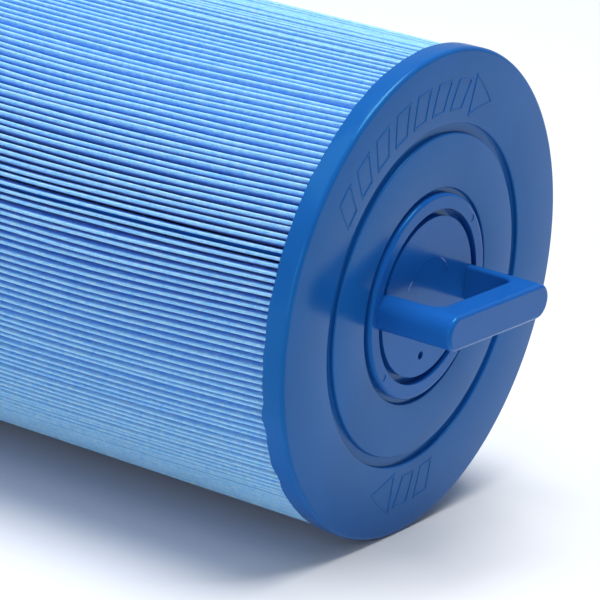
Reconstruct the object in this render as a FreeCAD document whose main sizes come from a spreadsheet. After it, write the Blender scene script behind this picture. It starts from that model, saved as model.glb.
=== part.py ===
"""Screw-in pleated filter cartridge for a spa, as a parametric FreeCAD document.

Millimetres, +Z up.  The cartridge lies on its side: its axis is the Y axis, the pull handle
faces -Y and the threaded outlet faces +Y.  The origin is on the axis, in the plane where the
outlet end cap seats against the filter housing.
"""
import FreeCAD, Part
import math
import os
import re

import Sketcher

DIMENSIONS = {
    # Whole cartridge
    "cap_radius": 75.0,
    "body_length": 205.0,
    # Cast end caps: a disc with a rim that wraps the ends of the pleats
    "cap_disc": 5.5,
    "cap_depth": 7.0,
    "cap_edge_round": 1.3,
    "ring_groove_inner": 49.4,
    "ring_groove_outer": 52.5,
    "ring_groove_depth": 1.5,
    "groove_edge_round": 0.4,
    "inlay_groove_outer": 33.0,
    "inlay_groove_depth": 1.3,
    # Pleated media: one sheet folded to and fro around the core
    "pleat_count": 212,
    "pleat_tip_radius": 73.4,
    "pleat_root_radius": 29.5,
    "sheet_thickness": 0.36,
    "tip_fold_width": 0.7,
    "seam_angle": 160.5,
    "seam_bead_depth": 8.0,
    "seam_bead_width": 0.82,
    # Slotted core tube
    "core_outer": 28.0,
    "core_inner": 25.5,
    "slot_columns": 10,
    "slot_rows": 9,
    "slot_length": 14.0,
    "slot_width": 6.0,
    "slot_pitch": 20.5,
    # Moulded inserts: the flange that each cap holds, and the spigot inside the core
    "flange_radius": 31.4,
    "flange_depth": 4.2,
    "flange_edge_round": 1.0,
    "spigot_outer": 25.3,
    "spigot_wall": 2.2,
    "spigot_length": 10.0,
    # Face of the handle insert, which stands proud of the cap
    "insert_rise": 1.0,
    "panel_recess": 0.35,
    "moat_inner": 24.6,
    "moat_outer": 26.9,
    "moat_depth": 3.0,
    "gate_ring_inner": 12.0,
    "gate_ring_outer": 12.6,
    "gate_ring_height": 0.15,
    "dimple_circle": 29.1,
    "dimple_radius": 1.1,
    "dimple_depth": 0.2,
    "dimple_count": 2,
    "vent_radius": 1.3,
    "vent_offset": 18.3,
    "vent_depth": 2.6,
    # Pull handle
    "handle_width": 57.0,
    "handle_thickness": 10.8,
    "handle_reach": 25.8,
    "grip_gap_width": 43.0,
    "grip_gap_reach": 17.0,
    "grip_gap_corner": 4.4,
    "handle_edge_round": 1.2,
    # Threaded outlet, 1 1/2 inch male pipe thread
    "hub_radius": 28.5,
    "hub_height": 1.2,
    "collar_radius": 24.5,
    "collar_length": 6.0,
    "outlet_length": 28.0,
    "thread_major": 24.13,
    "thread_minor": 22.4,
    "thread_pitch": 2.209,
    "thread_crest": 0.35,
    "thread_turns": 8.5,
    "outlet_bore": 19.0,
    "outlet_mouth_bevel": 0.8,
    "outlet_tail": 8.0,
}

document = FreeCAD.newDocument("filter_cartridge")
sheet = document.addObject("Spreadsheet::Sheet", "sizes")


def fill_sheet():
    """Write every driving dimension to its own aliased cell."""
    for row, (alias, value) in enumerate(DIMENSIONS.items(), start=1):
        sheet.set(f"A{row}", alias)
        sheet.set(f"B{row}", str(value))
        sheet.setAlias(f"B{row}", alias)
    document.recompute()


def bound(formula):
    """The formula as an expression that another object can hold, with its names in the sheet."""
    return re.sub(r"[a-z]\w*", lambda word: "sizes." + word.group() if word.group() in DIMENSIONS
                  else word.group(), formula)


def value_of(formula):
    """The number that a formula of sheet names comes to."""
    return float(sheet.evalExpression(formula))


def new_body(label):
    body = document.addObject("PartDesign::Body", label)
    body.Label = label
    return body


def new_sketch(body, name, role):
    """An empty sketch on one of the body's own origin planes."""
    plane = next(item for item in body.Origin.OriginFeatures if item.Role == role)
    sketch = body.newObject("Sketcher::SketchObject", name)
    sketch.AttachmentSupport = [(plane, "")]
    sketch.MapMode = "FlatFace"
    return sketch


def pin_point(sketch, geometry, point, corner):
    """Hold one sketch point at a pair of formulas, measured from the sketch's origin."""
    for kind, formula in zip(("DistanceX", "DistanceY"), corner):
        place = Sketcher.Constraint(kind, -1, 1, geometry, point, value_of(formula))
        index = sketch.addConstraint(place)
        sketch.setExpression(f"Constraints[{index}]", bound(formula))


def hold_size(sketch, kind, geometry, formula):
    """Hold one radius at a formula."""
    index = sketch.addConstraint(Sketcher.Constraint(kind, geometry, value_of(formula)))
    sketch.setExpression(f"Constraints[{index}]", bound(formula))


def outline(body, name, role, corners):
    """A closed sketch of straight sides through corners, each a pair of formulas."""
    sketch = new_sketch(body, name, role)
    places = [FreeCAD.Vector(value_of(across), value_of(up), 0) for across, up in corners]
    count = len(places)
    for index in range(count):
        side = Part.LineSegment(places[index], places[(index + 1) % count])
        sketch.addGeometry(side, False)
    for index in range(count):
        following = (index + 1) % count
        sketch.addConstraint(Sketcher.Constraint("Coincident", index, 2, following, 1))
    for index in range(count):
        pin_point(sketch, index, 1, corners[index])
    return sketch


def turned(body, name, corners):
    """A solid of revolution about Y.  Corners are (radius, y)."""
    sketch = outline(body, name + "_section", "XY_Plane", corners)
    solid = body.newObject("PartDesign::Revolution", name)
    solid.Profile = sketch
    solid.ReferenceAxis = (sketch, ["V_Axis"])
    solid.Angle = 360
    document.recompute()
    return solid


def circle_edges(feature, radii, height):
    """Names of the feature's full-circle edges about Y with one of these radii, at this y."""
    found = []
    for index, edge in enumerate(feature.Shape.Edges, start=1):
        curve = edge.Curve
        if not isinstance(curve, Part.Circle):
            continue
        on_axis = math.hypot(curve.Center.x, curve.Center.z) < 0.01
        level = abs(curve.Center.y - height) < 0.01
        if on_axis and level and any(abs(curve.Radius - radius) < 0.01 for radius in radii):
            found.append(f"Edge{index}")
    return found


def rounded(body, name, base, edges, radius):
    """A fillet on named edges of the base feature."""
    fillet = body.newObject("PartDesign::Fillet", name)
    fillet.Base = (base, edges)
    fillet.Radius = value_of(radius)
    fillet.setExpression("Radius", bound(radius))
    document.recompute()
    return fillet


def removes_material(feature, base):
    """Stop if a pocket or its pattern has cut nothing."""
    if feature.Shape.Volume > base.Shape.Volume - 0.1:
        raise RuntimeError(f"{feature.Name} cuts nothing")


def cast_end_cap(label, face, inward):
    """A cast cap whose outer face is at y = face; inward is the sign of y towards the media.

    The flange of the moulded insert sits in its middle, and its rim wraps the pleat ends.
    """
    body = new_body(label)

    def at(depth):
        return f"{face} {inward} ({depth})"

    section = turned(body, label + "_turned", [
        ("inlay_groove_outer", at("0")),
        ("ring_groove_inner", at("0")),
        ("ring_groove_inner", at("ring_groove_depth")),
        ("ring_groove_outer", at("ring_groove_depth")),
        ("ring_groove_outer", at("0")),
        ("cap_radius", at("0")),
        ("cap_radius", at("cap_depth")),
        ("pleat_tip_radius + sheet_thickness", at("cap_depth")),
        ("pleat_tip_radius + sheet_thickness", at("cap_disc")),
        ("core_outer", at("cap_disc")),
        ("core_outer", at("flange_depth")),
        ("flange_radius", at("flange_depth")),
        ("flange_radius", at("inlay_groove_depth")),
        ("inlay_groove_outer", at("inlay_groove_depth")),
    ])
    face_y = value_of(at("0"))
    rim_edge = circle_edges(section, [value_of("cap_radius")], face_y)
    rim = rounded(body, label + "_rim_round", section, rim_edge, "cap_edge_round")
    groove_radii = [value_of("ring_groove_inner"), value_of("ring_groove_outer")]
    lips = circle_edges(rim, groove_radii, face_y)
    rounded(body, label + "_groove_round", rim, lips, "groove_edge_round")
    return body


def fold_chain(side):
    """Corners of one face of the folded sheet: side is +1 for the face away from the axis."""
    count = int(value_of("pleat_count"))
    pitch = 2 * math.pi / count
    half_sheet = value_of("sheet_thickness") / 2
    tip = value_of("pleat_tip_radius") - half_sheet
    root = value_of("pleat_root_radius") + half_sheet
    tip_radius = tip + side * half_sheet
    root_radius = root + side * half_sheet
    tip_half = value_of("tip_fold_width") / 2 + side * half_sheet
    root_half = pitch * root / 4 - side * half_sheet
    first = math.radians(value_of("seam_angle")) + pitch / 2
    corners = []
    for index in range(count):
        tip_angle = first + index * pitch
        root_angle = tip_angle + pitch / 2
        for radius, middle, half in ((tip_radius, tip_angle, tip_half),
                                     (root_radius, root_angle, root_half)):
            for turn in (-half / radius, half / radius):
                angle = middle + turn
                corners.append((radius * math.cos(angle), radius * math.sin(angle)))
    return corners


def pleated_media():
    """The media as the one folded sheet it is: a zigzag ring, extruded along the axis."""
    start = value_of("cap_disc - body_length")
    length = value_of("body_length - 2 * cap_disc")
    wires = []
    for side in (1, -1):
        points = [FreeCAD.Vector(x, start, z) for x, z in fold_chain(side)]
        wires.append(Part.makePolygon(points + points[:1]))
    section = Part.Face(wires[0]).cut(Part.Face(wires[1])).Faces[0]
    media = document.addObject("Part::Feature", "pleated_media")
    media.Shape = section.extrude(FreeCAD.Vector(0, length, 0))
    media.Placement = FreeCAD.Placement()
    return media


def media_seam_bead():
    """The adhesive bead that joins the sheet's two ends, in the gap between two pleats."""
    body = new_body("media_seam_bead")
    outer = "pleat_tip_radius - sheet_thickness"
    inner = f"{outer} - seam_bead_depth"
    narrow = f"seam_bead_width / 2 * ({inner}) / ({outer})"
    sketch = outline(body, "seam_section", "XZ_Plane", [
        (inner, f"-({narrow})"),
        (outer, "-seam_bead_width / 2"),
        (outer, "seam_bead_width / 2"),
        (inner, narrow),
    ])
    strip = body.newObject("PartDesign::Pad", "seam_strip")
    strip.Profile = sketch
    strip.setExpression("Length", bound("body_length - 2 * cap_disc"))
    turn = FreeCAD.Rotation(FreeCAD.Vector(0, -1, 0), value_of("seam_angle"))
    body.Placement = FreeCAD.Placement(FreeCAD.Vector(0, -value_of("cap_disc"), 0), turn)
    document.recompute()
    return body


def core_tube():
    """The slotted tube that holds the pleats open and carries the filtered water out."""
    body = new_body("core_tube")
    near = "flange_depth - body_length"
    far = "-flange_depth"
    tube = turned(body, "tube", [
        ("core_inner", near),
        ("core_outer", near),
        ("core_outer", far),
        ("core_inner", far),
    ])
    first = "(slot_rows - 1) / 2 * slot_pitch + slot_length / 2 - body_length / 2"
    window = outline(body, "slot_outline", "YZ_Plane", [
        (first, "-slot_width / 2"),
        (first, "slot_width / 2"),
        (f"{first} - slot_length", "slot_width / 2"),
        (f"{first} - slot_length", "-slot_width / 2"),
    ])
    slot = body.newObject("PartDesign::Pocket", "slot")
    slot.Profile = window
    slot.setExpression("Length", bound("core_outer + 1"))
    slot.Reversed = True
    document.recompute()
    removes_material(slot, tube)
    pattern = body.newObject("PartDesign::MultiTransform", "slots")
    pattern.Originals = [slot]
    row = body.newObject("PartDesign::LinearPattern", "slot_row")
    row.Direction = (window, ["H_Axis"])
    row.Reversed = True
    row.setExpression("Length", bound("(slot_rows - 1) * slot_pitch"))
    row.setExpression("Occurrences", bound("slot_rows"))
    ring = body.newObject("PartDesign::PolarPattern", "slot_ring")
    ring.Axis = (window, ["H_Axis"])
    ring.Angle = 360
    ring.setExpression("Occurrences", bound("slot_columns"))
    pattern.Transformations = [row, ring]
    body.Tip = pattern
    document.recompute()
    removes_material(pattern, slot)
    return body


def handle_disc(body):
    """The insert's disc: flange ring, moat, sunk centre panel with a gate ring, and spigot."""
    top = "-body_length - insert_rise"
    panel = f"{top} + panel_recess"
    under = "flange_depth - body_length"
    raised = f"{panel} - gate_ring_height"
    moat = f"{top} + moat_depth"
    tail = f"{under} + spigot_length"
    bore = "spigot_outer - spigot_wall"
    disc = turned(body, "disc", [
        ("0", panel),
        ("gate_ring_inner", panel),
        ("gate_ring_inner", raised),
        ("gate_ring_outer", raised),
        ("gate_ring_outer", panel),
        ("moat_inner", panel),
        ("moat_inner", moat),
        ("moat_outer", moat),
        ("moat_outer", top),
        ("flange_radius", top),
        ("flange_radius", under),
        ("spigot_outer", under),
        ("spigot_outer", tail),
        (bore, tail),
        (bore, under),
        ("0", under),
    ])
    edge = circle_edges(disc, [value_of("flange_radius")], value_of(top))
    return rounded(body, "flange_round", disc, edge, "flange_edge_round")


def face_hole(body, name, base, across, up, radius, depth):
    """A round blind hole in the insert, its depth measured from the top of the flange ring."""
    sketch = new_sketch(body, name + "_circle", "XZ_Plane")
    top = "body_length + insert_rise"
    sketch.AttachmentOffset = FreeCAD.Placement(FreeCAD.Vector(0, 0, value_of(top)),
                                                FreeCAD.Rotation())
    sketch.setExpression("AttachmentOffset.Base.z", bound(top))
    centre = FreeCAD.Vector(value_of(across), value_of(up), 0)
    sketch.addGeometry(Part.Circle(centre, FreeCAD.Vector(0, 0, 1), value_of(radius)), False)
    pin_point(sketch, 0, 3, (across, up))
    hold_size(sketch, "Radius", 0, radius)
    hole = body.newObject("PartDesign::Pocket", name)
    hole.Profile = sketch
    hole.setExpression("Length", bound(depth))
    document.recompute()
    removes_material(hole, base)
    return hole, sketch


def handle_bar(body):
    """The stadium-ended block that the handle is made from, rooted in the disc."""
    sketch = new_sketch(body, "bar_outline", "XZ_Plane")
    root = "body_length + insert_rise - moat_depth"
    sketch.AttachmentOffset = FreeCAD.Placement(FreeCAD.Vector(0, 0, value_of(root)),
                                                FreeCAD.Rotation())
    sketch.setExpression("AttachmentOffset.Base.z", bound(root))
    radius = "handle_thickness / 2"
    centre = f"handle_width / 2 - {radius}"
    end = value_of(centre)
    half = value_of(radius)
    normal = FreeCAD.Vector(0, 0, 1)
    right = Part.Circle(FreeCAD.Vector(end, 0, 0), normal, half)
    left = Part.Circle(FreeCAD.Vector(-end, 0, 0), normal, half)
    quarter = math.pi / 2
    sketch.addGeometry(Part.ArcOfCircle(right, -quarter, quarter), False)
    sketch.addGeometry(Part.LineSegment(FreeCAD.Vector(end, half, 0),
                                        FreeCAD.Vector(-end, half, 0)), False)
    sketch.addGeometry(Part.ArcOfCircle(left, quarter, 3 * quarter), False)
    sketch.addGeometry(Part.LineSegment(FreeCAD.Vector(-end, -half, 0),
                                        FreeCAD.Vector(end, -half, 0)), False)
    for index in range(4):
        following = (index + 1) % 4
        sketch.addConstraint(Sketcher.Constraint("Tangent", index, 2, following, 1))
    pin_point(sketch, 0, 3, (centre, "0"))
    pin_point(sketch, 2, 3, (f"-({centre})", "0"))
    hold_size(sketch, "Radius", 0, radius)
    bar = body.newObject("PartDesign::Pad", "bar")
    bar.Profile = sketch
    bar.setExpression("Length", bound("handle_reach - insert_rise + moat_depth"))
    document.recompute()
    return bar


def grip_gap(body, bar):
    """Cut the finger gap through the bar along Z, and round its two far corners."""
    panel = "panel_recess - insert_rise - body_length"
    far = "-body_length - grip_gap_reach"
    half = "grip_gap_width / 2"
    sketch = outline(body, "gap_outline", "XY_Plane", [
        (f"-{half}", panel),
        (half, panel),
        (half, far),
        (f"-{half}", far),
    ])
    gap = body.newObject("PartDesign::Pocket", "gap")
    gap.Profile = sketch
    gap.SideType = "Symmetric"
    gap.setExpression("Length", bound("handle_thickness + 2"))
    document.recompute()
    removes_material(gap, bar)
    corners = []
    for index, edge in enumerate(gap.Shape.Edges, start=1):
        ends = [vertex.Point for vertex in edge.Vertexes]
        upright = len(ends) == 2 and abs(ends[0].z - ends[1].z) > value_of("handle_thickness") - 0.1
        if upright and abs(ends[0].y - value_of(far)) < 0.01:
            corners.append(f"Edge{index}")
    return rounded(body, "gap_corners", gap, corners, "grip_gap_corner")


def handle_edges(body, base):
    """Round the front outline of the handle and both outlines of the finger gap."""
    front = value_of("-body_length - handle_reach")
    panel = value_of("panel_recess - insert_rise - body_length")
    half = value_of("handle_thickness / 2")
    picked = []
    for index, edge in enumerate(base.Shape.Edges, start=1):
        box = edge.BoundBox
        on_front = abs(box.YMin - front) < 0.01 and abs(box.YMax - front) < 0.01
        flat_in_z = box.ZLength < 0.01 and abs(abs(box.ZMin) - half) < 0.01
        on_gap = flat_in_z and box.YMax < panel + 0.01 and front + 0.01 < box.YMin < panel - 0.01
        if on_front or on_gap:
            picked.append(f"Edge{index}")
    return rounded(body, "handle_round", base, picked, "handle_edge_round")


def handle_insert():
    """The moulded top: flange, centre panel, spigot and pull handle in one piece."""
    body = new_body("handle_insert")
    disc = handle_disc(body)
    vent, _ = face_hole(body, "vent", disc, "0", "-vent_offset", "vent_radius", "vent_depth")
    place = "dimple_circle / sqrt(2)"
    dimple, circle = face_hole(body, "dimple", vent, place, place, "dimple_radius", "dimple_depth")
    pattern = body.newObject("PartDesign::PolarPattern", "dimples")
    pattern.Originals = [dimple]
    pattern.Axis = (circle, ["N_Axis"])
    pattern.Angle = 360
    pattern.setExpression("Occurrences", bound("dimple_count"))
    body.Tip = pattern
    document.recompute()
    removes_material(pattern, dimple)
    bar = handle_bar(body)
    gapped = grip_gap(body, bar)
    handle_edges(body, gapped)
    return body


def threaded_outlet():
    """The moulded outlet: spigot, flange, hub, plain collar and male pipe thread."""
    body = new_body("threaded_outlet")
    under = "-flange_depth"
    tail = f"{under} - spigot_length"
    stem = "-outlet_tail"
    bevel = "outlet_mouth_bevel"
    nipple = turned(body, "nipple", [
        ("outlet_bore", stem),
        ("spigot_outer - spigot_wall", stem),
        ("spigot_outer - spigot_wall", tail),
        ("spigot_outer", tail),
        ("spigot_outer", under),
        ("flange_radius", under),
        ("flange_radius", "-hub_height"),
        ("hub_radius", "-hub_height"),
        ("hub_radius", "0"),
        ("collar_radius", "0"),
        ("collar_radius", "collar_length"),
        ("thread_minor", "collar_length"),
        ("thread_minor", f"outlet_length - {bevel}"),
        (f"thread_minor - {bevel}", "outlet_length"),
        (f"outlet_bore + {bevel}", "outlet_length"),
        ("outlet_bore", f"outlet_length - {bevel}"),
    ])
    root_half = "(thread_pitch - thread_crest) / 2 * 0.9"
    middle = "collar_length + thread_pitch / 2"
    buried = "thread_minor - 0.1"
    tooth = outline(body, "tooth", "XY_Plane", [
        (buried, f"{middle} - {root_half}"),
        ("thread_major", f"{middle} - thread_crest / 2"),
        ("thread_major", f"{middle} + thread_crest / 2"),
        (buried, f"{middle} + {root_half}"),
    ])
    document.recompute()
    thread = body.newObject("PartDesign::AdditiveHelix", "thread")
    thread.Profile = tooth
    thread.ReferenceAxis = (tooth, ["V_Axis"])
    thread.Mode = "pitch-turns-angle"
    thread.setExpression("Pitch", bound("thread_pitch"))
    thread.setExpression("Turns", bound("thread_turns"))
    document.recompute()
    if thread.Shape.Volume < nipple.Shape.Volume + 1:
        raise RuntimeError("the thread adds nothing")
    return body


fill_sheet()
pieces = [
    pleated_media(),
    media_seam_bead(),
    core_tube(),
    cast_end_cap("handle_end_cap", "-body_length", "+"),
    handle_insert(),
    cast_end_cap("outlet_end_cap", "0", "-"),
    threaded_outlet(),
]
document.recompute()

for item in document.Objects:
    if "Invalid" in item.State or "Error" in item.State:
        raise RuntimeError(f"{item.Name} failed: {item.State}")
for piece in pieces:
    if piece.Shape.isNull() or not piece.Shape.isValid() or len(piece.Shape.Solids) != 1:
        raise RuntimeError(f"{piece.Label} is not one valid solid")

os.makedirs("parts", exist_ok=True)
for piece in pieces:
    piece.Shape.exportStep(f"parts/{piece.Label}.step")
    print(piece.Label, round(piece.Shape.Volume / 1000, 2), "cm3", piece.Shape.BoundBox)
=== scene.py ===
"""Looks of the pleated spa filter cartridge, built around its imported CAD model.

Metres, in the model's own frame: +Z up, the cartridge's axis along Y, the pull handle facing -Y
and the threaded outlet facing +Y.
"""
import math

import bmesh
import bpy
import numpy as np
from mathutils import Matrix, Vector


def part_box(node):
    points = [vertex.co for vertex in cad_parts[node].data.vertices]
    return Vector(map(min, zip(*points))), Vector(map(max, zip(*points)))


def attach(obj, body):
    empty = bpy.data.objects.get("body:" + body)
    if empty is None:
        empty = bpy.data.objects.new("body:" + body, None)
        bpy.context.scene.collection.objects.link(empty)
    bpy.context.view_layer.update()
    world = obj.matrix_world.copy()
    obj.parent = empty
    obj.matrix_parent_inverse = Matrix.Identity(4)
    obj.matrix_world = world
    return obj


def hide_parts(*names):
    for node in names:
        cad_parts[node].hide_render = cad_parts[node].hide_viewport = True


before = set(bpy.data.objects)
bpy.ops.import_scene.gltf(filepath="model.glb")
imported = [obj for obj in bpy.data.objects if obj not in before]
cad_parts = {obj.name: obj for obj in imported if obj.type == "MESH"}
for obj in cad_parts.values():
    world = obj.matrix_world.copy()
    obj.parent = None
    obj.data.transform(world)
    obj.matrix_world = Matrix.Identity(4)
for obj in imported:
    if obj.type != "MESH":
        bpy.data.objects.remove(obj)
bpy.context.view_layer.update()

MM = 0.001


# ---------------------------------------------------------------- sizes read from the frame

def span(node):
    """Lowest and highest corner of a CAD node, as vectors."""
    low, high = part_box(node)
    return Vector(low), Vector(high)


CAP_LOW, CAP_HIGH = span("handle_end_cap")
CAP_RADIUS = (CAP_HIGH.x - CAP_LOW.x) / 2
CAP_DEPTH = CAP_HIGH.y - CAP_LOW.y
FACE_Y = CAP_LOW.y
SEAT_Y = span("outlet_end_cap")[1].y
MEDIA_LOW, MEDIA_HIGH = span("pleated_media")
TIP_RADIUS = (MEDIA_HIGH.x - MEDIA_LOW.x) / 2
FLOOR_Z = -CAP_RADIUS

# Sizes that the boxes don't give
PLEATS = 212
PITCH = 2 * math.pi / PLEATS
ROOT_RADIUS = 29.5 * MM
SHEET = 0.36 * MM
SEAM_ANGLE = math.radians(160.5)
CAP_DISC = 5.5 * MM
CAP_ROUND = 1.3 * MM
RING_GROOVE = (49.4 * MM, 52.5 * MM)
RING_GROOVE_DEPTH = 1.5 * MM
INLAY_GROOVE = (31.4 * MM, 33.0 * MM)
INLAY_GROOVE_DEPTH = 1.3 * MM
CORE_RADIUS = 28.0 * MM
FLANGE_DEPTH = 4.2 * MM

rng = np.random.default_rng(7)


# ---------------------------------------------------------------- node helpers

class Nodes:
    """A material's node tree with short calls to add and link nodes."""

    def __init__(self, name):
        self.material = bpy.data.materials.new(name)
        self.material.use_nodes = True
        self.tree = self.material.node_tree
        self.shader = self.tree.nodes["Principled BSDF"]

    def add(self, kind, inputs=None, **settings):
        node = self.tree.nodes.new(kind)
        for key, value in settings.items():
            setattr(node, key, value)
        for key, value in (inputs or {}).items():
            self.feed(node, key, value)
        return node

    def feed(self, node, key, value):
        """Set an input to a value, or link it when the value is another node's output."""
        if isinstance(value, bpy.types.NodeSocket):
            self.tree.links.new(value, node.inputs[key])
        else:
            node.inputs[key].default_value = value

    def shade(self, inputs):
        """Set or link several inputs of the material's shader."""
        for key, value in inputs.items():
            self.feed(self.shader, key, value)

    def place(self):
        return self.add("ShaderNodeTexCoord").outputs["Object"]

    def stretched(self, place, scales):
        """The place scaled along x, y and z: a scale below 1 draws the pattern out."""
        return self.add("ShaderNodeMapping", {"Vector": place, "Scale": scales}).outputs["Vector"]

    def noise(self, place, scale, detail=3.0, roughness=0.55):
        node = self.add("ShaderNodeTexNoise", {
            "Vector": place, "Scale": scale, "Detail": detail, "Roughness": roughness})
        return node.outputs["Fac"]

    def ramp(self, factor, low, high, dark, light):
        """Colours from dark to light as the factor goes from low to high."""
        node = self.add("ShaderNodeValToRGB", {"Fac": self.spread(factor, low, high, 0.0, 1.0)})
        node.color_ramp.elements[0].color = (*dark, 1)
        node.color_ramp.elements[1].color = (*light, 1)
        return node.outputs["Color"]

    def spread(self, factor, low, high, start, end):
        """Map the factor's range low..high to start..end."""
        node = self.add("ShaderNodeMapRange", {
            "Value": factor, "From Min": low, "From Max": high, "To Min": start, "To Max": end})
        return node.outputs["Result"]

    def bump(self, height, strength, distance):
        node = self.add("ShaderNodeBump", {
            "Height": height, "Strength": strength, "Distance": distance})
        self.feed(self.shader, "Normal", node.outputs["Normal"])

    def from_axis(self, place):
        """Distance from the cartridge's axis."""
        across = self.stretched(place, (1.0, 0.0, 1.0))
        node = self.add("ShaderNodeVectorMath", {0: across}, operation="LENGTH")
        return node.outputs["Value"]

    def sum(self, first, second, weight):
        """first + weight * second"""
        node = self.add("ShaderNodeMath", {0: second, 1: weight, 2: first},
                        operation="MULTIPLY_ADD")
        return node.outputs["Value"]


# ---------------------------------------------------------------- materials

# Most values of a noise node lie in this range
NOISE_RANGE = (0.3, 0.7)
PLASTIC_BUMP = 0.06 * MM
PLASTIC_IOR = 1.30
# Light mirrored straight back from the plastic has lost most of its red
PLASTIC_GLINT = (0.15, 1.0, 1.0, 1)


def moulded_plastic(name, dark, light, roughness):
    """Blue moulded plastic: faint flow mottling, fine surface texture, small gloss changes."""
    nodes = Nodes(name)
    place = nodes.place()
    along = nodes.stretched(place, (1.0, 0.35, 1.0))
    mottling = nodes.noise(place, scale=38.0, detail=4.0)
    smears = nodes.noise(along, scale=120.0, detail=5.0, roughness=0.65)
    nodes.shade({
        "Base Color": nodes.ramp(mottling, *NOISE_RANGE, dark, light),
        "Roughness": nodes.spread(smears, *NOISE_RANGE, roughness - 0.04, roughness + 0.05),
        "IOR": PLASTIC_IOR,
        "Specular Tint": PLASTIC_GLINT,
    })
    grain = nodes.noise(place, scale=2600.0, detail=2.0)
    dimples = nodes.noise(place, scale=260.0, detail=3.0)
    nodes.bump(nodes.sum(grain, dimples, 1.5), strength=0.18, distance=PLASTIC_BUMP)
    return nodes.material


# FELT_SHADE is darker and more saturated, the painted shade on the fold walls; FELT_PALE is paler, the
# painted highlight on the tips
FELT_SHADE = (0.055, 0.325, 0.98)
FELT_PALE = (0.35, 0.615, 0.98)
# The summed noises of the felt that give FELT_SHADE and FELT_PALE
FELT_RANGE = (2.05, 3.65)
# How far below the fold tips the felt is painted paler, a painted highlight on the tips
TIP_HIGHLIGHT_DEPTH = 3 * MM
FIBRE_BUMP = 0.15 * MM
# How far light travels inside the felt, and the shares of that for red, green and blue
FELT_DEPTH = 2.6 * MM
FELT_DEPTH_SHARES = (0.35, 0.7, 1.0)


def spunbond(name):
    """Spun-bonded polyester: a felt of fine fibres, cloudy, with a painted highlight that makes it
    paler towards the fold tips.
    """
    nodes = Nodes(name)
    place = nodes.place()
    clouds = nodes.noise(place, scale=420.0, roughness=0.6)
    flecks = nodes.noise(nodes.stretched(place, (1.0, 0.45, 1.0)), scale=1500.0, roughness=0.7)
    fibres = nodes.noise(nodes.stretched(place, (1.0, 0.2, 1.0)), scale=3600.0, roughness=0.7)
    cross = nodes.noise(nodes.stretched(place, (0.35, 1.0, 0.35)), scale=4200.0, roughness=0.7)
    weave = nodes.sum(fibres, cross, 0.8)
    cloth = nodes.sum(nodes.sum(weave, clouds, 1.4), flecks, 1.5)
    # Painted highlight: paler towards the fold tips, leaving the walls deeper in the folds darker as
    # painted shade
    tip_highlight = nodes.spread(nodes.from_axis(place), TIP_RADIUS - TIP_HIGHLIGHT_DEPTH, TIP_RADIUS, 0.0, 0.9)
    cloth = nodes.sum(cloth, tip_highlight, 1.0)
    nodes.shade({
        "Base Color": nodes.ramp(cloth, *FELT_RANGE, FELT_SHADE, FELT_PALE),
        "Roughness": 0.85,
        "Sheen Weight": 0.12,
        "Sheen Roughness": 0.4,
        "Specular IOR Level": 0.3,
        "Subsurface Weight": 0.6,
        "Subsurface Radius": FELT_DEPTH_SHARES,
        "Subsurface Scale": FELT_DEPTH,
    })
    nodes.bump(nodes.sum(weave, flecks, 1.2), strength=0.55, distance=FIBRE_BUMP)
    return nodes.material


def floor_paint(name):
    """The matt white table, with slow and very faint changes of tone."""
    nodes = Nodes(name)
    tone = nodes.noise(nodes.place(), scale=3.0, detail=2.0)
    nodes.shade({
        "Base Color": nodes.ramp(tone, 0.2, 0.8, (0.705, 0.705, 0.71), (0.72, 0.72, 0.725)),
        "Roughness": 0.75,
    })
    return nodes.material


# ---------------------------------------------------------------- mesh helpers

SHARP_ANGLE = math.radians(40)


def new_piece(name, points, faces, material, smooth=True):
    """A mesh object with one material, in the scene."""
    mesh = bpy.data.meshes.new(name)
    mesh.from_pydata([tuple(point) for point in points], [], faces)
    mesh.validate()
    mesh.update()
    piece = bpy.data.objects.new(name, mesh)
    bpy.context.scene.collection.objects.link(piece)
    mesh.materials.append(material)
    if smooth:
        mesh.shade_smooth()
    return piece


def grid_faces(rows, columns, first=0, wrap_rows=False, wrap_columns=True):
    """Quads over a grid of rows x columns points, numbered along each row."""
    faces = []
    for row in range(rows if wrap_rows else rows - 1):
        here = first + row * columns
        there = first + ((row + 1) % rows) * columns
        for column in range(columns if wrap_columns else columns - 1):
            nearby = (column + 1) % columns
            faces.append((here + column, here + nearby, there + nearby, there + column))
    return faces


def outward(piece):
    """Turn every face of a closed piece to face outwards."""
    solid = bmesh.new()
    solid.from_mesh(piece.data)
    bmesh.ops.recalc_face_normals(solid, faces=solid.faces)
    solid.to_mesh(piece.data)
    solid.free()


# ---------------------------------------------------------------- pleated media

# Points along the axis
RINGS = 25
SEAM_FOLDS = (0, PLEATS - 1)
SHEET_SHARP_ANGLE = math.radians(80)

# How far the tips stand aside from even places: one by one, in bunches, and all together
WANDER = 0.12 * MM
BUNCHING = 0.42 * MM
LEAN = 3.4 * MM
# How many folds each way a bunch is smoothed over, and where that smoothing stops
BUNCH_FOLDS = 3.0
BUNCH_REACH = 12
# How far each of the two folds at the seam is drawn towards it
SEAM_PULL = 0.02 * MM

# How far the tips stand out past TIP_RADIUS, and the swelling at lower left
TIP_DROP = 0.3 * MM
TIP_DROP_SPREAD = 0.13 * MM
TIP_DROP_MOST = 0.7 * MM
SWELL = 0.9 * MM
SWELL_ANGLE = math.radians(250)
SWELL_SPREAD = math.radians(22)

# The folds' rounded tips, and the gaps between their walls at MEETING_RADIUS
FOLD_HALF_WIDTH = 0.53 * MM
SEAM_FOLD_HALF_WIDTH = 0.50 * MM
ROOT_HALF_WIDTH_LEAST = 0.02 * MM
MEETING_RADIUS = TIP_RADIUS - 5.5 * MM
FOLD_GAP = 0.14 * MM
SEAM_GAP = 0.95 * MM
# The widening fades over about this many gaps on each side of the seam
SEAM_GAP_SPREAD = 1.1
# Points round a fold's tip, on the sheet's outer and inner face
TIP_STEPS = {1: 7, -1: 3}


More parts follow.
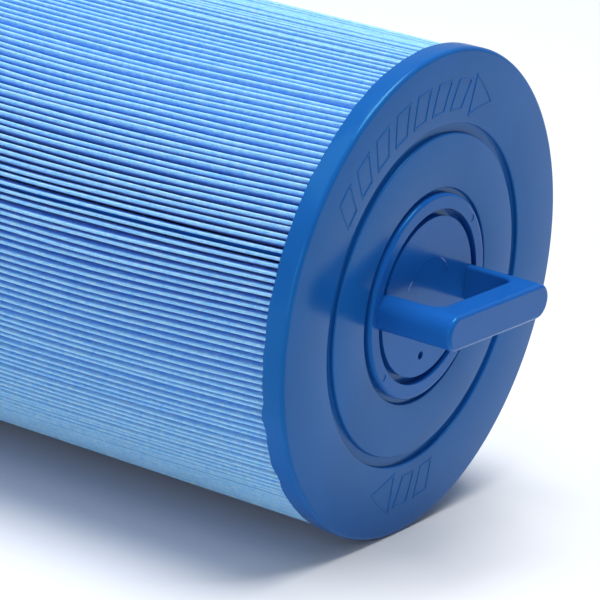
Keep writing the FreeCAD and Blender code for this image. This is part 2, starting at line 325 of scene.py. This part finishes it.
def smooth_noise(count, knots, size):
    """count random smooth curves of the given size, each through a few random knots."""
    values = rng.normal(0, size, (count, knots))
    at = np.linspace(0, knots - 1, RINGS)
    low = np.clip(at.astype(int), 0, knots - 2)
    share = at - low
    share = share * share * (3 - 2 * share)
    return values[:, low] * (1 - share) + values[:, low + 1] * share


def shared_lean():
    """How far all folds lean aside together, at each ring: none at the caps, most between."""
    return LEAN * np.sin(math.pi * np.linspace(0, 1, RINGS))


def fold_offsets():
    """How far each fold's tip stands aside, in metres, at each ring along the axis."""
    aside = smooth_noise(PLEATS, knots=7, size=WANDER)
    bunching = smooth_noise(PLEATS, knots=4, size=BUNCHING)
    neighbours = np.arange(-BUNCH_REACH, BUNCH_REACH + 1)
    kernel = np.exp(-0.5 * (neighbours / BUNCH_FOLDS) ** 2)
    kernel /= kernel.sum()
    around = np.concatenate([bunching[-BUNCH_REACH:], bunching, bunching[:BUNCH_REACH]])
    bunching = np.array([np.convolve(column, kernel, "valid") for column in around.T]).T
    fixed = rng.normal(0, WANDER, (PLEATS, 1))
    offsets = aside + bunching + fixed
    seam = (offsets[0] + offsets[-1]) / 2
    offsets[0] = seam - SEAM_PULL
    offsets[-1] = seam + SEAM_PULL
    return offsets + shared_lean()


def fold_heights():
    """How far each fold's tip stands out past TIP_RADIUS: uneven, and swollen at lower left."""
    angles = SEAM_ANGLE + (np.arange(PLEATS) + 0.5) * PITCH
    away = np.angle(np.exp(1j * (angles - SWELL_ANGLE)))
    swell = SWELL * np.exp(-0.5 * (away / SWELL_SPREAD) ** 2)
    return rng.normal(-TIP_DROP, TIP_DROP_SPREAD, PLEATS).clip(-TIP_DROP_MOST, 0) + swell


def fold_shape(side, half_width, top, gap_before, gap_after):
    """One fold from wall to wall: (radius, across, share of the offset, fold it meets).

    Each wall bows out to leave a given gap to the next fold at MEETING_RADIUS.
    """
    steps = TIP_STEPS[side]
    wall = PITCH * MEETING_RADIUS / 2 - (1 - side) * SHEET / 2
    share = (MEETING_RADIUS - ROOT_RADIUS) / (TIP_RADIUS - ROOT_RADIUS)
    shape = [(MEETING_RADIUS, gap_before / 2 - wall, share, -1)]
    for step in range(steps):
        turn = math.pi * step / (steps - 1)
        shape.append((top - half_width * (1 - math.sin(turn)), -half_width * math.cos(turn), 1, 0))
    shape.append((MEETING_RADIUS, wall - gap_after / 2, share, 1))
    root = ROOT_RADIUS + (1 + side) * SHEET / 2
    root_half = max(PITCH * root / 4 - side * SHEET / 2, ROOT_HALF_WIDTH_LEAST)
    wall = PITCH * root / 2 - root_half
    shape.append((root, wall, 0, 0))
    shape.append((root, wall + 2 * root_half, 0, 0))
    return shape


def sheet_layer(side, offsets, heights):
    """Points of one face of the sheet: side is +1 for the face away from the axis."""
    along = np.linspace(MEDIA_LOW.y, MEDIA_HIGH.y, RINGS)
    gap_numbers = np.arange(PLEATS + 1)
    from_seam = np.minimum(gap_numbers, PLEATS - gap_numbers)
    gaps = FOLD_GAP + (SEAM_GAP - FOLD_GAP) * np.exp(-(from_seam / SEAM_GAP_SPREAD) ** 2)
    rows = []
    for index in range(PLEATS):
        middle = SEAM_ANGLE + (index + 0.5) * PITCH
        outer_half = SEAM_FOLD_HALF_WIDTH if index in SEAM_FOLDS else FOLD_HALF_WIDTH
        half_width = outer_half - (1 - side) * SHEET / 2
        top = TIP_RADIUS + heights[index] - (1 - side) * SHEET / 2
        shape = fold_shape(side, half_width, top, gaps[index], gaps[index + 1])
        for radius, across, share, meets in shape:
            aside = share * (offsets[index] + offsets[(index + meets) % PLEATS]) / 2
            angle = middle + (across + aside) / radius
            rows.append(np.stack([radius * np.cos(angle), along, radius * np.sin(angle)], axis=1))
    return np.array(rows)


def sheet_ends(outside_rows, inside_rows, shift):
    """One flat face per fold at each end, which joins the sheet's two faces."""
    per_outer = outside_rows // PLEATS
    per_inner = inside_rows // PLEATS
    faces = []
    for ring in (0, RINGS - 1):
        for fold in range(PLEATS):
            outer = [(fold * per_outer + step) % outside_rows for step in range(per_outer + 1)]
            inner = [(fold * per_inner + step) % inside_rows for step in range(per_inner + 1)]
            corners = [row * RINGS + ring for row in outer]
            corners += [shift + row * RINGS + ring for row in reversed(inner)]
            faces.append(tuple(corners))
    return faces


def pleated_sheet(material):
    """The folded sheet as a closed skin: the two faces of its folds, joined at its ends."""
    offsets = fold_offsets()
    heights = fold_heights()
    outside = sheet_layer(1, offsets, heights)
    inside = sheet_layer(-1, offsets, heights)
    points = np.concatenate([outside.reshape(-1, 3), inside.reshape(-1, 3)])
    shift = len(outside) * RINGS
    faces = grid_faces(len(outside), RINGS, wrap_rows=True, wrap_columns=False)
    faces += grid_faces(len(inside), RINGS, shift, wrap_rows=True, wrap_columns=False)
    faces += sheet_ends(len(outside), len(inside), shift)
    piece = new_piece("media_pleats", points, faces, material)
    outward(piece)
    piece.data.set_sharp_from_angle(angle=SHEET_SHARP_ANGLE)
    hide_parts("pleated_media")
    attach(piece, "root")
    loop = np.concatenate([outside[:, 0], outside[:1, 0]])
    width = float(np.linalg.norm(np.diff(loop, axis=0), axis=1).sum())


BEAD_RADII = (TIP_RADIUS - 9 * MM, TIP_RADIUS - 3.2 * MM)
BEAD_HALF_WIDTH = 0.42 * MM
BEAD_TAPER = 0.7
BEAD_RAGGEDNESS = 0.25 * MM


def seam_bead(material):
    """The adhesive between the sheet's two ends: a ragged strip a little below the tips."""
    ragged = rng.normal(0, BEAD_RAGGEDNESS, (2, RINGS))
    lean = shared_lean()
    points = []
    for ring, y in enumerate(np.linspace(MEDIA_LOW.y, MEDIA_HIGH.y, RINGS)):
        for radius, sides in ((BEAD_RADII[0] + ragged[0, ring], (-BEAD_TAPER, BEAD_TAPER)),
                              (BEAD_RADII[1] + ragged[1, ring], (1.0, -1.0))):
            share = (radius - ROOT_RADIUS) / (TIP_RADIUS - ROOT_RADIUS)
            for side in sides:
                angle = SEAM_ANGLE + (side * BEAD_HALF_WIDTH + share * lean[ring]) / radius
                points.append((radius * math.cos(angle), y, radius * math.sin(angle)))
    last = len(points) - 4
    faces = grid_faces(RINGS, 4) + [(0, 1, 2, 3), tuple(range(last, last + 4))]
    piece = new_piece("seam_bead", points, faces, material)
    outward(piece)
    piece.data.set_sharp_from_angle(angle=SHARP_ANGLE)
    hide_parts("media_seam_bead")
    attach(piece, "root")


# ---------------------------------------------------------------- cast end caps

CORNER_STEPS = 6


def rounded_corner(before, corner, after, radius):
    """Points of the arc that rounds one corner of an outline."""
    corner = Vector(corner)
    back = (Vector(before) - corner).normalized()
    ahead = (Vector(after) - corner).normalized()
    half = back.angle(ahead) / 2
    reach = radius / math.tan(half)
    centre = corner + (back + ahead).normalized() * radius / math.sin(half)
    start = corner + back * reach - centre
    end = corner + ahead * reach - centre
    sweep = start.angle_signed(end)
    points = []
    for step in range(CORNER_STEPS + 1):
        turn = Matrix.Rotation(-sweep * step / CORNER_STEPS, 2)
        points.append(tuple(centre + turn @ start))
    return points


def rounded_outline(corners):
    """A closed outline from (x, y, rounding radius) corners."""
    points = []
    count = len(corners)
    for index, (x, y, radius) in enumerate(corners):
        if radius:
            points += rounded_corner(corners[index - 1][:2], (x, y),
                                     corners[(index + 1) % count][:2], radius)
        else:
            points.append((x, y))
    return points


def turned_piece(name, outline, material, columns, shift):
    """A closed ring turned about Y from an outline of (radius, y).

    shift is a function of (radius, y, angle) that returns a change in y.
    """
    points = []
    for radius, along in outline:
        for column in range(columns):
            angle = 2 * math.pi * column / columns
            moved = shift(radius, along, angle)
            points.append((radius * math.cos(angle), along + moved, radius * math.sin(angle)))
    faces = grid_faces(len(outline), columns, wrap_rows=True)
    piece = new_piece(name, points, faces, material)
    outward(piece)
    piece.data.set_sharp_from_angle(angle=SHARP_ANGLE)
    return piece


def wobble(angle, terms):
    """A sum of cosines: terms are (waves around, size, phase)."""
    return sum(size * math.cos(waves * angle + phase) for waves, size, phase in terms)


# The rim's uneven edge: small waves all round, and deep lobes near one angle
FLASH_SIZE = 0.10 * MM
# The number of waves round the rim at which their size is halved
FLASH_FADE = 30
FLASH = [(waves, FLASH_SIZE / (1 + waves / FLASH_FADE), rng.uniform(0, 2 * math.pi))
         for waves in (3, 7, 13, 22, 37, 53, 71)]
FRINGE = 0.07 * MM
CREEP = 0.2 * MM
CREEP_LOBES = [(29, 0.34 * MM, 0.4), (47, 0.22 * MM, 1.3)]
CREEP_ANGLE = math.radians(201)
CREEP_SPREAD = math.radians(16)


def flash_edge(angle):
    """How far the cast rim's edge runs along the pleats, with deep lobes where they bunch."""
    near = math.exp(-0.5 * ((angle - CREEP_ANGLE) / CREEP_SPREAD) ** 2)
    lobes = wobble(angle, CREEP_LOBES) + CREEP
    return wobble(angle, FLASH) + near * lobes + FRINGE * math.cos(PLEATS * angle)


GROOVE_EDGE_ROUND = 0.45 * MM
GROOVE_FLOOR_ROUND = 0.35 * MM
INLAY_FLOOR_ROUND = 0.4 * MM
RIM_EDGE_ROUND = 0.35 * MM
RIM_INNER_ROUND = 0.2 * MM
# The potting round the outer folds: a ring a little lower than the rim, sloping to the disc
POTTING_DEPTH = CAP_DEPTH - 0.4 * MM
POTTING_RADII = (TIP_RADIUS - 1.0 * MM, TIP_RADIUS - 12.0 * MM)
POTTING_FOOT = TIP_RADIUS - 13.0 * MM
# Only what is deeper and further out than this follows the uneven edge
FLASH_DEPTH = CAP_DEPTH - 1.0 * MM
FLASH_RADIUS = TIP_RADIUS - 1.5 * MM
CAP_COLUMNS = 4 * PLEATS


def end_cap(name, node, face, inward, material):
    """A cast cap: grooves in its face, a rounded front edge, an uneven edge at the pleats."""
    def at(depth):
        return face + inward * depth

    outline = rounded_outline([
        (INLAY_GROOVE[1], at(0), GROOVE_EDGE_ROUND),
        (RING_GROOVE[0], at(0), GROOVE_EDGE_ROUND),
        (RING_GROOVE[0], at(RING_GROOVE_DEPTH), GROOVE_FLOOR_ROUND),
        (RING_GROOVE[1], at(RING_GROOVE_DEPTH), GROOVE_FLOOR_ROUND),
        (RING_GROOVE[1], at(0), GROOVE_EDGE_ROUND),
        (CAP_RADIUS, at(0), CAP_ROUND),
        (CAP_RADIUS, at(CAP_DEPTH), RIM_EDGE_ROUND),
        (TIP_RADIUS + SHEET, at(CAP_DEPTH), RIM_INNER_ROUND),
        (POTTING_RADII[0], at(POTTING_DEPTH), 0),
        (POTTING_RADII[1], at(POTTING_DEPTH), 0),
        (POTTING_FOOT, at(CAP_DISC), 0),
        (CORE_RADIUS, at(CAP_DISC), 0),
        (CORE_RADIUS, at(FLANGE_DEPTH), 0),
        (INLAY_GROOVE[0], at(FLANGE_DEPTH), 0),
        (INLAY_GROOVE[0], at(INLAY_GROOVE_DEPTH), 0),
        (INLAY_GROOVE[1], at(INLAY_GROOVE_DEPTH), INLAY_FLOOR_ROUND),
    ])

    def flash(radius, along, angle):
        depth = (along - face) * inward
        if depth < FLASH_DEPTH or radius < FLASH_RADIUS:
            return 0.0
        return inward * flash_edge(angle)

    piece = turned_piece(name, outline, material, CAP_COLUMNS, flash)
    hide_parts(node)
    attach(piece, "root")


# ---------------------------------------------------------------- raised marks on the cap's face

MARK_RADII = (56.5 * MM, 65.5 * MM)
MARK_LINE = 0.9 * MM
MARK_TOP = 0.36 * MM
MARK_HEIGHT = 0.22 * MM
MARK_SINK = 0.15 * MM
MARK_STEP = 1.5 * MM
BAR_WIDTH = math.radians(6.0)
BAR_GAP = math.radians(4.0)
BAR_LEAN = math.radians(3.0)
ARROW_LENGTH = math.radians(11.0)
# The arrow head's width, as a share of the bars'
ARROW_SPREAD = 1.35
# Where each row starts, and its number of bars
MARK_ROWS = ((math.radians(148), 7), (math.radians(-75), 2))


def polar_path(corners):
    """Points (x, z) along a closed outline whose corners are (radius, angle)."""
    points = []
    for index, (radius, angle) in enumerate(corners):
        next_radius, next_angle = corners[(index + 1) % len(corners)]
        length = math.hypot(next_radius - radius, (next_angle - angle) * radius)
        pieces = max(1, round(length / MARK_STEP))
        for piece in range(pieces):
            share = piece / pieces
            here = radius + share * (next_radius - radius)
            turn = angle + share * (next_angle - angle)
            points.append(Vector((here * math.cos(turn), here * math.sin(turn))))
    return points


def ridge(points, first):
    """A low ridge with sloping sides along a closed path: its points and faces."""
    profile = [(-MARK_LINE / 2, MARK_SINK), (-MARK_TOP / 2, -MARK_HEIGHT),
               (MARK_TOP / 2, -MARK_HEIGHT), (MARK_LINE / 2, MARK_SINK)]
    count = len(points)
    placed = []
    for index, point in enumerate(points):
        back = (point - points[index - 1]).normalized()
        ahead = (points[(index + 1) % count] - point).normalized()
        along = (back + ahead).normalized()
        widen = 1 / max(0.5, along.dot(ahead))
        side = Vector((-along.y, along.x)) * widen
        for across, out in profile:
            place = point + side * across
            placed.append((place.x, FACE_Y + out, place.y))
    faces = grid_faces(count, len(profile), first, wrap_rows=True)
    return placed, faces


def bar_mark(start):
    """Corners of one leaning bar that starts at an angle."""
    inner, outer = MARK_RADII
    return [(inner, start), (outer, start - BAR_LEAN), (outer, start - BAR_LEAN - BAR_WIDTH),
            (inner, start - BAR_WIDTH)]


def arrow_head(start):
    """Corners of an arrow head that points clockwise as seen from outside."""
    middle = sum(MARK_RADII) / 2
    half = (MARK_RADII[1] - MARK_RADII[0]) / 2 * ARROW_SPREAD
    return [(middle - half, start), (middle + half, start), (middle, start - ARROW_LENGTH)]


def turning_marks(material):
    """Two rows of raised outlines that show which way to screw the cartridge in."""
    outlines = []
    for first, bars in MARK_ROWS:
        for index in range(bars):
            outlines.append(bar_mark(first - index * (BAR_WIDTH + BAR_GAP)))
        outlines.append(arrow_head(first - bars * (BAR_WIDTH + BAR_GAP) - BAR_LEAN / 2))
    points, faces = [], []
    for corners in outlines:
        placed, joined = ridge(polar_path(corners), len(points))
        points += placed
        faces += joined
    piece = new_piece("turning_marks", points, faces, material)
    outward(piece)
    piece.data.set_sharp_from_angle(angle=SHARP_ANGLE)
    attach(piece, "root")


# ---------------------------------------------------------------- torn gate marks on the handle's panel, with painted highlights

PANEL_RISE = 0.65 * MM
PANEL_Y = FACE_Y - PANEL_RISE
GATE_RADIUS = 12.3 * MM
SCUFF_HALF_WIDTH = 0.34 * MM
SCUFF_HEIGHT = 0.32 * MM
SCUFF_STEPS = 24
# A sliver's size along its arc, as shares of the sizes above: its ends, and its ragged middle
SCUFF_END_SHARE = 0.05
SCUFF_RAGGED_SHARES = (0.35, 1.0)
# Degrees, from +X towards +Z
SCUFF_ARCS = ((30, 78), (139, 162))


def scuff(start, end, first):
    """A ragged thin sliver along the gate ring: its points and faces."""
    points = []
    for step in range(SCUFF_STEPS + 1):
        share = step / SCUFF_STEPS
        angle = start + share * (end - start)
        size = SCUFF_END_SHARE + math.sin(math.pi * share) * rng.uniform(*SCUFF_RAGGED_SHARES)
        for across, out in ((-1, 0.0), (0, 1.0), (1, 0.0)):
            radius = GATE_RADIUS + across * size * SCUFF_HALF_WIDTH
            points.append((radius * math.cos(angle), PANEL_Y - out * size * SCUFF_HEIGHT,
                           radius * math.sin(angle)))
    last = first + 3 * SCUFF_STEPS
    faces = grid_faces(SCUFF_STEPS + 1, 3, first)
    faces += [(first, first + 1, first + 2), (last, last + 1, last + 2)]
    return points, faces


def gate_glint_scuffs(material):
    """Two pale slivers where the moulding's gate was torn off, made paler as painted highlights along
    the gate ring.
    """
    points, faces = [], []
    for start, end in SCUFF_ARCS:
        placed, joined = scuff(math.radians(start), math.radians(end), len(points))
        points += placed
        faces += joined
    piece = new_piece("gate_glint_scuffs", points, faces, material)
    outward(piece)
    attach(piece, "root")


# ---------------------------------------------------------------- stage, light and camera

FLOOR_HALF_SIZE = 4.0
WORLD_COLOUR = (0.68, 0.83, 1.0, 1)
WORLD_STRENGTH = 0.39
# Each softbox: where it hangs, how wide it is, and its watts
SOFTBOXES = {
    "main_softbox": ((0.25, -0.25, 2.4), 1.5, 78.0),
    "left_softbox": ((-1.0, 0.85, 2.0), 1.2, 7.0),
    "side_softbox": ((-2.4, -0.1, 0.5), 1.2, 13.5),
}


def studio():
    """The white table that the cartridge lies on, the pale room round it, and its softboxes."""
    size = FLOOR_HALF_SIZE
    corners = [(-size, -size, FLOOR_Z), (size, -size, FLOOR_Z), (size, size, FLOOR_Z),
               (-size, size, FLOOR_Z)]
    floor = new_piece("floor", corners, [(0, 1, 2, 3)], floor_paint("floor_paint"), smooth=False)
    world = bpy.data.worlds.new("studio")
    world.use_nodes = True
    background = world.node_tree.nodes["Background"]
    background.inputs["Color"].default_value = WORLD_COLOUR
    background.inputs["Strength"].default_value = WORLD_STRENGTH
    bpy.context.scene.world = world
    for name, (place, width, power) in SOFTBOXES.items():
        softbox(name, place, width, power)


def softbox(name, place, width, power):
    """A square area light that looks at the middle of the cartridge."""
    light = bpy.data.lights.new(name, "AREA")
    light.shape = "SQUARE"
    light.size = width
    light.energy = power
    lamp = bpy.data.objects.new(name, light)
    bpy.context.scene.collection.objects.link(lamp)
    lamp.location = place
    away = Vector(place) - Vector((0, (FACE_Y + SEAT_Y) / 2, 0))
    lamp.rotation_euler = away.to_track_quat("Z", "Y").to_euler()


CAMERA_AZIMUTH = math.radians(-58.35)
CAMERA_ELEVATION = math.radians(17.36)
CAMERA_ROLL = math.radians(6.1)
CAMERA_DISTANCE = 1.0892
# The camera aims this far left of the middle of the cap's face and this far below it
AIM_LEFT = 36.98 * MM
AIM_BELOW = 1.08 * MM
SENSOR_WIDTH = 36
LENS = 221.8


def photo_camera():
    """A long lens at the photograph's angle, with the cap's face right of the middle."""
    azimuth, elevation = CAMERA_AZIMUTH, CAMERA_ELEVATION
    back = Vector((math.sin(azimuth) * math.cos(elevation),
                   -math.cos(azimuth) * math.cos(elevation), math.sin(elevation)))
    level = Vector((math.cos(azimuth), math.sin(azimuth), 0))
    rise = back.cross(level)
    right = level * math.cos(CAMERA_ROLL) + rise * math.sin(CAMERA_ROLL)
    up = back.cross(right)
    aim = Vector((0, FACE_Y, 0)) - right * AIM_LEFT - up * AIM_BELOW
    camera = bpy.data.cameras.new("photo_camera")
    camera.sensor_width = SENSOR_WIDTH
    camera.lens = LENS
    camera.clip_start = 0.05
    holder = bpy.data.objects.new("photo_camera", camera)
    bpy.context.scene.collection.objects.link(holder)
    place = aim + back * CAMERA_DISTANCE
    axes = Matrix((right, up, back)).transposed().to_4x4()
    holder.matrix_world = Matrix.Translation(place) @ axes
    bpy.context.scene.camera = holder
    bpy.context.scene.view_settings.view_transform = "Standard"


# ---------------------------------------------------------------- the cartridge

studio()
photo_camera()
media_material = spunbond("spunbond_media")
cap_material = moulded_plastic("cast_cap_blue", dark=(0.008, 0.090, 0.330),
                               light=(0.010, 0.103, 0.365), roughness=0.17)
insert_material = moulded_plastic("insert_blue", dark=(0.008, 0.091, 0.36),
                                  light=(0.010, 0.103, 0.39), roughness=0.14)
# Pale slivers: partly torn plastic, partly painted highlights where the gate ring catches the light
scuff_glint_material = moulded_plastic("torn_plastic_glint", dark=(0.22, 0.36, 0.62),
                                 light=(0.42, 0.55, 0.74), roughness=0.5)
core_material = moulded_plastic("core_blue", dark=(0.006, 0.080, 0.34),
                                light=(0.008, 0.092, 0.38), roughness=0.35)
pleated_sheet(media_material)
seam_bead(core_material)
end_cap("handle_cap", "handle_end_cap", FACE_Y, 1, cap_material)
end_cap("outlet_cap", "outlet_end_cap", SEAT_Y, -1, cap_material)
turning_marks(cap_material)
gate_glint_scuffs(scuff_glint_material)
for node, material in (("handle_insert", insert_material), ("threaded_outlet", insert_material),
                       ("core_tube", core_material)):
    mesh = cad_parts[node].data
    mesh.materials.clear()
    mesh.materials.append(material)
